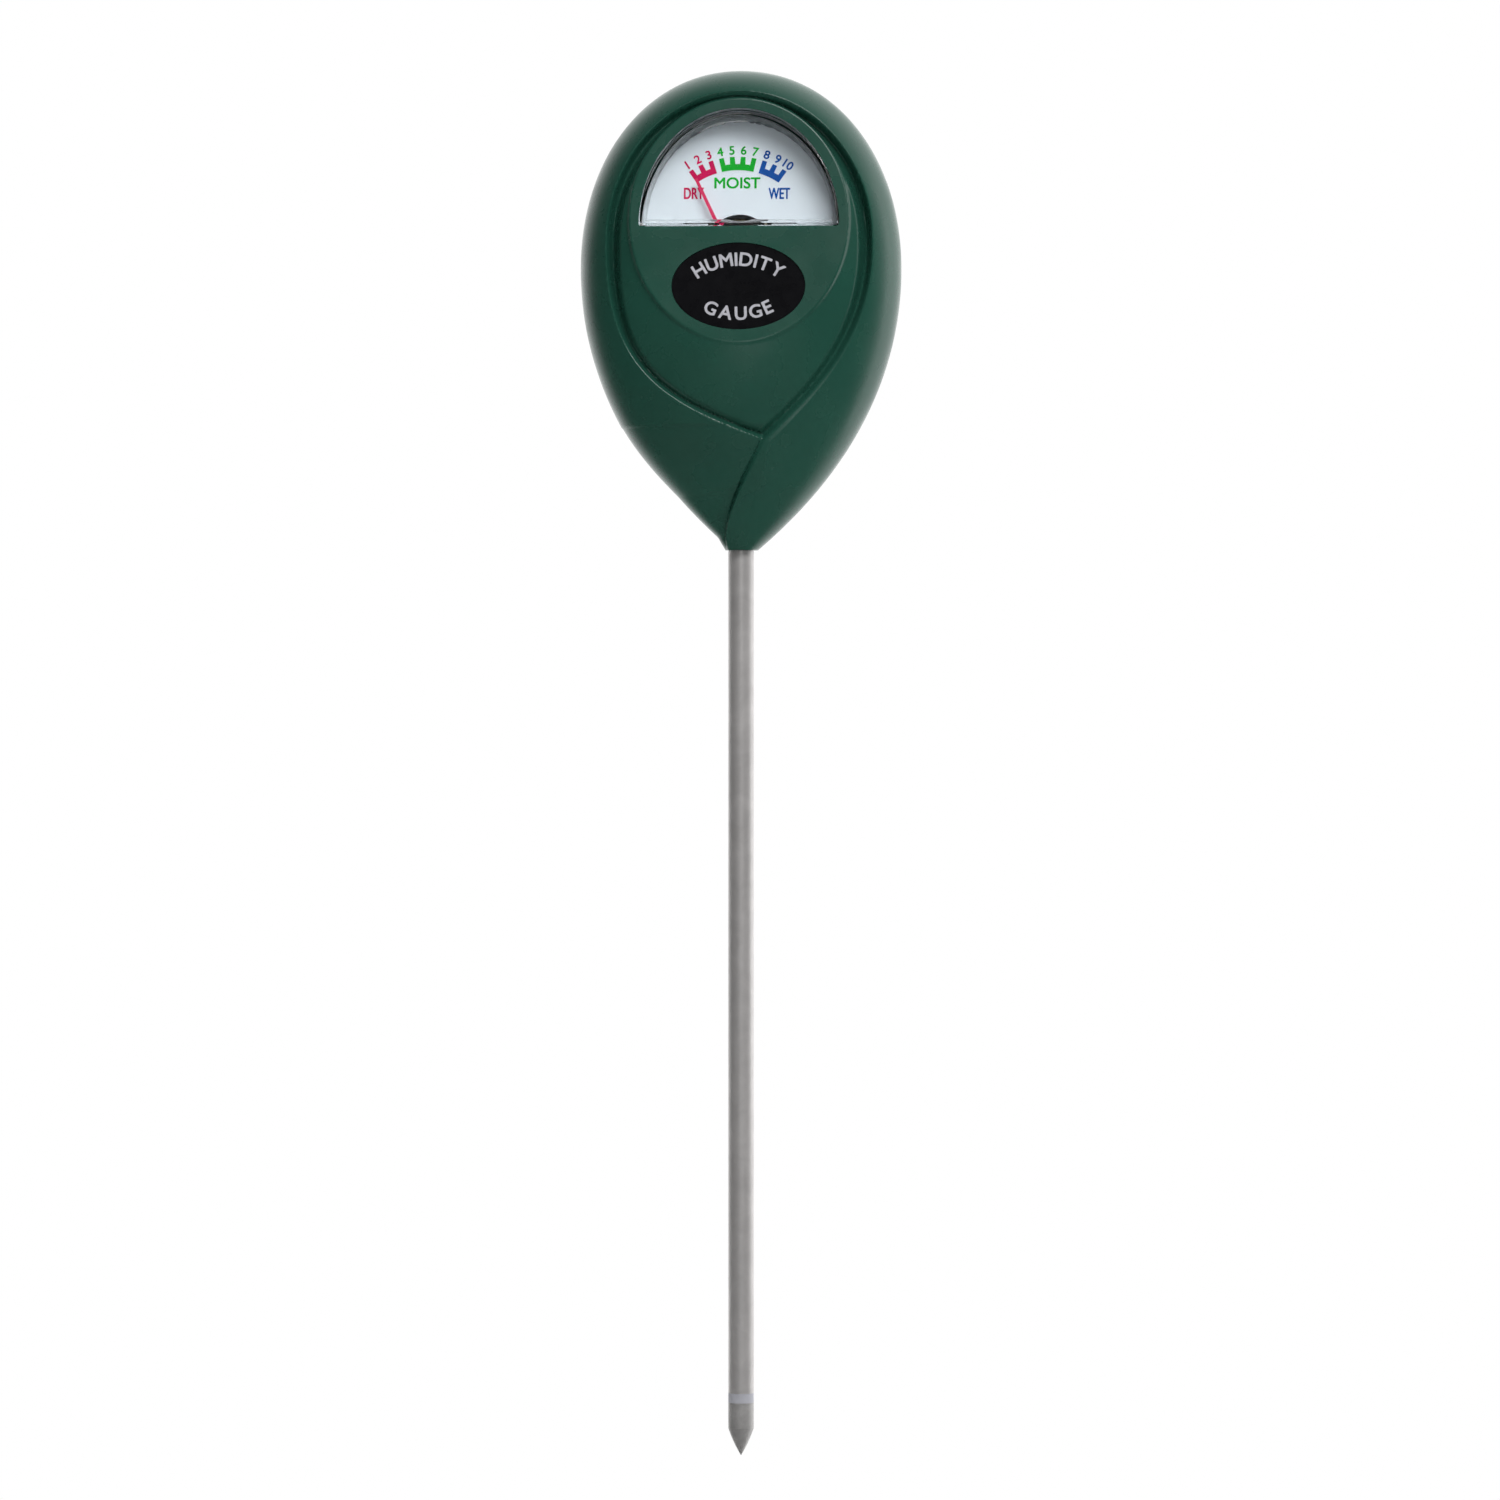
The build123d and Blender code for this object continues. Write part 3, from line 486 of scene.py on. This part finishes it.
def placed_text(text, height, centre, angle=0, width=None):
    """Text centred on a point of the dial, turned clockwise."""
    points, faces = flat_text(text)
    points = points * height
    if width:
        points[:, 0] *= width / points[:, 0].max()
    points = points - points.max(axis=0) / 2
    return turned(points, angle) + np.array(centre), faces


def arched_text(text, height, centre, radius, gap, upright=True):
    """A word laid letter by letter along an arc, over or under the arc's centre."""
    letters = [flat_text(letter) for letter in text]
    widths = [points[:, 0].max() * height for points, faces in letters]
    start = -(sum(widths) + gap * (len(text) - 1)) / 2
    out = radius if upright else -radius
    pieces = []
    for (points, faces), width in zip(letters, widths):
        middle = start + width / 2
        start += width + gap
        angle = middle / out
        flat = points * height - np.array([width / 2, height / 2])
        place = np.array(centre) + out * np.array([sin(angle), cos(angle)])
        pieces.append((turned(flat, np.degrees(angle)) + place, faces, BADGE_SPREAD))
    return pieces


def band_outline(first, last):
    """One coloured band with its ticks standing on it, as a closed outline."""
    def at(radius, angle):
        return [SCALE_U + radius * sin(radians(angle)), SCALE_V + radius * cos(radians(angle))]

    half = np.degrees(TICK_WIDTH / 2 / TICK_OUTER)
    ticks = [TICK_FIRST + TICK_STEP * number for number in range(first, last + 1)]
    outline = [at(BAND_INNER, angle) for angle in np.linspace(ticks[-1] + half, ticks[0] - half, 40)]
    for number, tick in enumerate(ticks):
        outline += [at(TICK_OUTER, tick - half), at(TICK_OUTER, tick + half)]
        if number < len(ticks) - 1:
            gap_start = tick + half * 1.25
            gap_end = ticks[number + 1] - half * 1.25
            outline += [at(BAND_OUTER, angle) for angle in np.linspace(gap_start, gap_end, 8)]
    return np.array(outline)


def print_piece(name, pieces, w):
    """Turns flat printed shapes into one thin mesh lying on the dial or the badge.

    Each shape comes with the width its ink spreads: shifted copies, each a hair higher, make it bolder.
    """
    vertices, faces = [], []
    for points, polygons, spread in pieces:
        shifts = [(0, 0)] + [(spread * cos(angle), spread * sin(angle)) for angle in SPREAD_DIRECTIONS]
        for number, (across, up) in enumerate(shifts):
            start = len(vertices)
            level = w + PRINT_THICKNESS + number * LAYER_STEP
            vertices += [list(FACE @ Vector((u + across, v + up, level))) for u, v in points]
            faces += [[start + index for index in polygon] for polygon in polygons]
    made = make_object(name, vertices, faces)
    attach(made, "housing")
    return made


def scale_band(name, first, last, word, word_place, word_width):
    """One coloured third of the scale: its band, its numbers and its word."""
    outline = band_outline(first, last)
    pieces = [(outline, [list(range(len(outline)))], BAND_SPREAD)]
    for number in range(first, last + 1):
        angle = TICK_FIRST + TICK_STEP * number
        turn = radians(angle)
        place = (SCALE_U + DIGIT_RADIUS * sin(turn), SCALE_V + DIGIT_RADIUS * cos(turn))
        pieces.append((*placed_text(str(number + 1), DIGIT_HEIGHT, place, angle), DIGIT_SPREAD))
    pieces.append((*placed_text(word, WORD_HEIGHT, word_place, 0, word_width), WORD_SPREAD))
    return print_piece(name, pieces, DIAL_W)


print_red = scale_band("print_red", 0, 2, "DRY", (-8.61, 7.68), 3.65)
print_green = scale_band("print_green", 3, 6, "MOIST", (-0.5, 9.66), 8.5)
print_blue = scale_band("print_blue", 7, 9, "WET", (7.35, 7.6), 3.9)

badge_words = arched_text("HUMIDITY", BADGE_LETTER_HEIGHT, (0, -20.3), 14.0, 0.55)
badge_words += arched_text("GAUGE", BADGE_LETTER_HEIGHT, (0, -3.6), 13.0, 0.6, upright=False)
badge_letters = print_piece("badge_letters", badge_words, BADGE_W)


# ------------------------------------------------------------------ materials
def linear(red, green, blue):
    """A colour given in the usual 0 to 255 display scale, as the shader's linear values."""
    shares = [value / 255 for value in (red, green, blue)]
    return tuple(s / 12.92 if s <= 0.04045 else ((s + 0.055) / 1.055) ** 2.4 for s in shares) + (1.0,)


# How a pattern is scaled along each axis: evenly, drawn out up the probe, round it, or rubbed upwards.
EVEN = (1, 1, 1)
DRAWN = (1, 1, 0.03)
TURNED = (0.1, 0.1, 1)
RUBBED = (1, 1, 0.06)


class Look:
    """One material's nodes. Its patterns lie in the frame's own axes, in metres."""

    def __init__(self, name):
        self.material = bpy.data.materials.new(name)
        self.material.use_nodes = True
        self.tree = self.material.node_tree
        self.shader = self.tree.nodes["Principled BSDF"]
        self.output = self.tree.nodes["Material Output"]
        self.place = self.node("ShaderNodeTexCoord").outputs["Object"]
        self.height = None

    def node(self, kind, **inputs):
        """A new node with its inputs set or linked by name."""
        made = self.tree.nodes.new(kind)
        for key, value in inputs.items():
            self.set(made.inputs[key.replace("_", " ")], value)
        return made

    def set(self, socket, value):
        """Links a socket to an output, or gives it a plain value."""
        if isinstance(value, bpy.types.NodeSocket):
            self.tree.links.new(value, socket)
        else:
            socket.default_value = value

    def constant(self, **values):
        """Plain values on the shader's own sockets."""
        for key, value in values.items():
            self.shader.inputs[key.replace("_", " ")].default_value = value

    def noise(self, scale, detail, stretch=EVEN, distortion=0.0):
        """Noise with features about 1/scale metres across, longer along an axis with a small stretch."""
        mapping = self.node("ShaderNodeMapping", Vector=self.place, Scale=stretch)
        made = self.node("ShaderNodeTexNoise", Vector=mapping.outputs["Vector"], Scale=scale)
        made.inputs["Detail"].default_value = detail
        made.inputs["Distortion"].default_value = distortion
        return made.outputs["Fac"]

    def between(self, factor, low, high, low_colour, high_colour):
        """A colour that changes from one to the other as the factor goes from low to high."""
        ramp = self.node("ShaderNodeValToRGB", Fac=factor)
        ramp.color_ramp.elements[0].position = low
        ramp.color_ramp.elements[1].position = high
        ramp.color_ramp.elements[0].color = low_colour
        ramp.color_ramp.elements[1].color = high_colour
        return ramp.outputs["Color"]

    def spread(self, factor, low, high):
        """A number that changes from low to high over the middle of the noise."""
        made = self.node("ShaderNodeMapRange")
        self.set(made.inputs["Value"], factor)
        for key, value in (("From Min", 0.3), ("From Max", 0.7), ("To Min", low), ("To Max", high)):
            made.inputs[key].default_value = value
        return made.outputs["Result"]

    def bump(self, factor, strength, distance):
        """Adds relief: distance is the height in metres."""
        made = self.node("ShaderNodeBump", Height=factor, Strength=strength, Distance=distance)
        if self.height:
            self.tree.links.new(self.height, made.inputs["Normal"])
        self.height = made.outputs["Normal"]
        self.tree.links.new(self.height, self.shader.inputs["Normal"])

    def colour(self, value):
        """The surface's colour, plain or from a pattern."""
        self.set(self.shader.inputs["Base Color"], value)

    def roughness(self, value):
        """The surface's roughness, plain or from a pattern."""
        self.set(self.shader.inputs["Roughness"], value)


def toned(colour, strength):
    """The same hue, lighter or darker."""
    return tuple(min(share * strength, 1.0) for share in colour[:3]) + (1.0,)


def plastic(name, colour, roughness, variation, grain=2200, relief=6e-6, blotch=90):
    """Moulded plastic: faint blotches of tone, uneven gloss and a very fine surface grain."""
    look = Look(name)
    darker, lighter = toned(colour, 1 - variation), toned(colour, 1 + variation)
    look.colour(look.between(look.noise(blotch, 4), 0.32, 0.68, darker, lighter))
    look.roughness(look.spread(look.noise(blotch * 3, 5), *roughness))
    look.bump(look.noise(grain, 2), 0.25, relief)
    return look


def metal(name, colour, roughness, variation, stretch=EVEN, grain=3000, relief=4e-6, bare=1.0):
    """Metal with drawn or turned marks along the stretch, tarnish and uneven polish."""
    look = Look(name)
    look.constant(Metallic=bare)
    tarnish = look.noise(260, 5, distortion=0.6)
    look.colour(look.between(tarnish, 0.3, 0.7, toned(colour, 1 - variation), colour))
    look.roughness(look.spread(look.noise(500, 5, stretch), *roughness))
    look.bump(look.noise(grain, 3, stretch), 0.3, relief)
    return look


def housing_look():
    """Satin green moulding: fine grain, slow changes of tone, and faint rub marks."""
    look = plastic("housing_green", (0.0205, 0.102, 0.071, 1), (0.22, 0.32), 0.08, 1500, 5e-6, 45)
    scratches = look.noise(900, 2, RUBBED, 1.5)
    look.bump(scratches, 0.08, 4e-6)
    return look


def badge_look():
    """The black plate: about as smooth as the housing, with very little shine."""
    look = plastic("badge_black", (0.0058, 0.0058, 0.0072, 1), (0.24, 0.34), 0.12, 1800, 4e-6, 160)
    look.constant(Specular_IOR_Level=0.1)
    return look


def lens_look():
    """Clear moulded plastic, which lets light and shadow through to the dial."""
    look = Look("lens_clear")
    look.constant(Transmission_Weight=1.0, Roughness=0.02, IOR=1.46)
    look.colour((0.97, 0.985, 0.99, 1))
    look.bump(look.noise(140, 2), 0.04, 2e-5)
    clear = look.node("ShaderNodeBsdfTransparent", Color=(0.95, 0.96, 0.965, 1))
    path = look.node("ShaderNodeLightPath")
    mix = look.node("ShaderNodeMixShader", Fac=path.outputs["Is Shadow Ray"])
    look.tree.links.new(look.shader.outputs["BSDF"], mix.inputs[1])
    look.tree.links.new(clear.outputs["BSDF"], mix.inputs[2])
    look.tree.links.new(mix.outputs["Shader"], look.output.inputs["Surface"])
    return look


def print_look(name, colour):
    """Screen-printed ink: slightly uneven in strength, smoother than the card, with little shine."""
    look = plastic(name, colour, (0.4, 0.55), 0.1, 5000, 3e-6, 700)
    look.constant(Specular_IOR_Level=0.15)
    return look


# Colour, roughness range and variation, then whatever differs from the usual grain.
PLASTICS = {
    "dial_white": dict(colour=linear(228, 236, 243), roughness=(0.5, 0.62), variation=0.03,
                       grain=1400, relief=3e-6, blotch=60),
    "needle_red": dict(colour=linear(216, 8, 84), roughness=(0.3, 0.42), variation=0.1,
                       grain=4000, relief=3e-6, blotch=500),
    "tray_white": dict(colour=linear(214, 218, 222), roughness=(0.45, 0.6), variation=0.2,
                       grain=2000, relief=8e-6),
    "bobbin_plastic": dict(colour=linear(226, 222, 206), roughness=(0.4, 0.55), variation=0.08),
    "lead_red": dict(colour=linear(176, 26, 22), roughness=(0.35, 0.5), variation=0.12),
    "lead_black": dict(colour=linear(34, 34, 36), roughness=(0.35, 0.5), variation=0.2),
    "insulator_plastic": dict(colour=linear(196, 197, 205), roughness=(0.4, 0.55), variation=0.1,
                              grain=3000),
}
METALS = {
    "copper_wire": dict(colour=(0.72, 0.29, 0.13, 1), roughness=(0.2, 0.32), variation=0.3,
                        stretch=TURNED, grain=9000, relief=2e-5),
    "magnet_iron": dict(colour=(0.3, 0.3, 0.32, 1), roughness=(0.35, 0.5), variation=0.3,
                        stretch=TURNED),
    "plated_steel": dict(colour=(0.62, 0.64, 0.68, 1), roughness=(0.3, 0.45), variation=0.18,
                         bare=0.4),
    "screw_steel": dict(colour=(0.42, 0.43, 0.44, 1), roughness=(0.3, 0.45), variation=0.25,
                        stretch=TURNED),
    "brass_part": dict(colour=(0.8, 0.6, 0.26, 1), roughness=(0.2, 0.34), variation=0.2,
                       stretch=TURNED),
    "spring_bronze": dict(colour=(0.74, 0.5, 0.27, 1), roughness=(0.18, 0.28), variation=0.15),
    "probe_metal": dict(colour=(0.73, 0.71, 0.7, 1), roughness=(0.4, 0.55), variation=0.14,
                        stretch=DRAWN, grain=5000, relief=5e-6, bare=0.5),
    "tip_metal": dict(colour=(0.62, 0.61, 0.6, 1), roughness=(0.45, 0.6), variation=0.32,
                      stretch=TURNED, grain=4000, relief=8e-6, bare=0.45),
}
INKS = (
    (print_red, "ink_red", (205, 0, 82)),
    (print_green, "ink_green", (0, 172, 40)),
    (print_blue, "ink_blue", (0, 76, 158)),
    (badge_letters, "ink_white", (214, 214, 222)),
)


def dress(piece, look):
    """Gives a piece one look."""
    piece.data.materials.clear()
    piece.data.materials.append(look.material)


looks = {
    "housing_green": housing_look(),
    "badge_black": badge_look(),
    "lens_clear": lens_look(),
    **{name: plastic(name, **facts) for name, facts in PLASTICS.items()},
    **{name: metal(name, **facts) for name, facts in METALS.items()},
}
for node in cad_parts.values():
    slot_name = node.data.materials[0].name.split(".")[0]
    dress(node, looks[slot_name])
dress(front_skin, looks["housing_green"])
dress(rear_skin, looks["housing_green"])
for piece, name, colour in INKS:
    dress(piece, print_look(name, linear(*colour)))


# ------------------------------------------------------------------ stage, light and camera
# Places here are metres, but the target and the floor are given in millimetres.
TARGET = Vector((1.69, 0.0, 132.5)) * MM
CAMERA_TURN = radians(2.0)
CAMERA_DISTANCE = 1.1
SENSOR_WIDTH = 36
VIEW_HEIGHT = 0.2818
FLOOR_RADIUS = 900
FLOOR_TOP = -150
FLOOR_THICKNESS = 20
# The world's light by direction: share of the way from in front to behind, and its strength.
WORLD_FRONT = (0.0, 0.03)
WORLD_BEHIND = (1.0, 1.35)
WORLD_BETWEEN = ((0.40, 0.03), (0.5, 0.07), (0.58, 0.26), (0.68, 1.0), (0.8, 1.5))
BEHIND_DIRECTION = Vector((0.2, 0.96, 0.12)).normalized()
# The colour sockets of a Mix node, which has sockets of the same names for other data.
MIX_COLOUR_A = 6
MIX_COLOUR_B = 7
MIX_COLOUR_RESULT = 2
# Name, place, point aimed at, width, height and watts.
LIGHTS = (
    ("key", (0.42, -0.9, 1.2), (0, 0, 0.2), 0.8, 0.6, 11.4),
    ("front_fill", (0.1, -1.6, 0.22), (0, 0, 0.18), 0.5, 0.6, 1.2),
    ("right_strip", (0.7, 0.2, 0.2), (0, 0, 0.13), 0.15, 0.8, 0.25),
)


def stage_floor():
    """A pale round floor below the object."""
    floor = cylinder(
        "floor", (0, 0, FLOOR_TOP - FLOOR_THICKNESS), (0, 0, FLOOR_TOP), FLOOR_RADIUS, 96
    )
    dress(floor, plastic("floor_pale", (0.85, 0.85, 0.85, 1), (0.55, 0.7), 0.03, 400, 1e-5))
    floor.visible_glossy = False


def soft_light(name, place, target, width, height, watts):
    """A rectangular soft light aimed at a point."""
    lamp = bpy.data.lights.new(name, "AREA")
    lamp.shape = "RECTANGLE"
    lamp.size = width
    lamp.size_y = height
    lamp.energy = watts
    made = bpy.data.objects.new(name, lamp)
    bpy.context.scene.collection.objects.link(made)
    made.location = place
    made.rotation_euler = (Vector(target) - Vector(place)).to_track_quat("-Z", "Y").to_euler()


def studio_world():
    """A white room seen directly, whose light is dim from the front and bright from behind."""
    world = bpy.data.worlds.new("studio")
    bpy.context.scene.world = world
    world.use_nodes = True
    tree = world.node_tree
    tree.nodes.clear()
    place = tree.nodes.new("ShaderNodeTexCoord")
    facing = tree.nodes.new("ShaderNodeVectorMath")
    facing.operation = "DOT_PRODUCT"
    facing.inputs[1].default_value = BEHIND_DIRECTION
    tree.links.new(place.outputs["Generated"], facing.inputs[0])
    ramp = tree.nodes.new("ShaderNodeValToRGB")
    stops = ramp.color_ramp.elements
    ends = ((stops[0], WORLD_FRONT), (stops[1], WORLD_BEHIND))
    for stop, (position, level) in ends:
        stop.position = position
        stop.color = (level, level, level, 1)
    for position, level in WORLD_BETWEEN:
        stop = stops.new(position)
        stop.color = (level, level, level, 1)
    shift = tree.nodes.new("ShaderNodeMapRange")
    for key, value in (("From Min", -1.0), ("From Max", 1.0)):
        shift.inputs[key].default_value = value
    tree.links.new(facing.outputs["Value"], shift.inputs["Value"])
    tree.links.new(shift.outputs["Result"], ramp.inputs["Fac"])
    path = tree.nodes.new("ShaderNodeLightPath")
    seen = tree.nodes.new("ShaderNodeMix")
    seen.data_type = "RGBA"
    tree.links.new(path.outputs["Is Camera Ray"], seen.inputs[0])
    tree.links.new(ramp.outputs["Color"], seen.inputs[MIX_COLOUR_A])
    seen.inputs[MIX_COLOUR_B].default_value = (1, 1, 1, 1)
    background = tree.nodes.new("ShaderNodeBackground")
    tree.links.new(seen.outputs[MIX_COLOUR_RESULT], background.inputs["Color"])
    output = tree.nodes.new("ShaderNodeOutputWorld")
    tree.links.new(background.outputs["Background"], output.inputs["Surface"])


stage_floor()
studio_world()
for light in LIGHTS:
    soft_light(*light)

camera_data = bpy.data.cameras.new("camera")
camera_data.sensor_width = SENSOR_WIDTH
camera_data.lens = SENSOR_WIDTH * CAMERA_DISTANCE / VIEW_HEIGHT
camera_data.clip_start = 0.01
camera_data.clip_end = 20
camera = bpy.data.objects.new("camera", camera_data)
bpy.context.scene.collection.objects.link(camera)
towards_camera = Vector((sin(CAMERA_TURN), -cos(CAMERA_TURN), 0))
camera.location = TARGET + towards_camera * CAMERA_DISTANCE
camera.rotation_euler = (TARGET - camera.location).to_track_quat("-Z", "Y").to_euler()
bpy.context.scene.camera = camera
bpy.context.scene.view_settings.view_transform = "Standard"
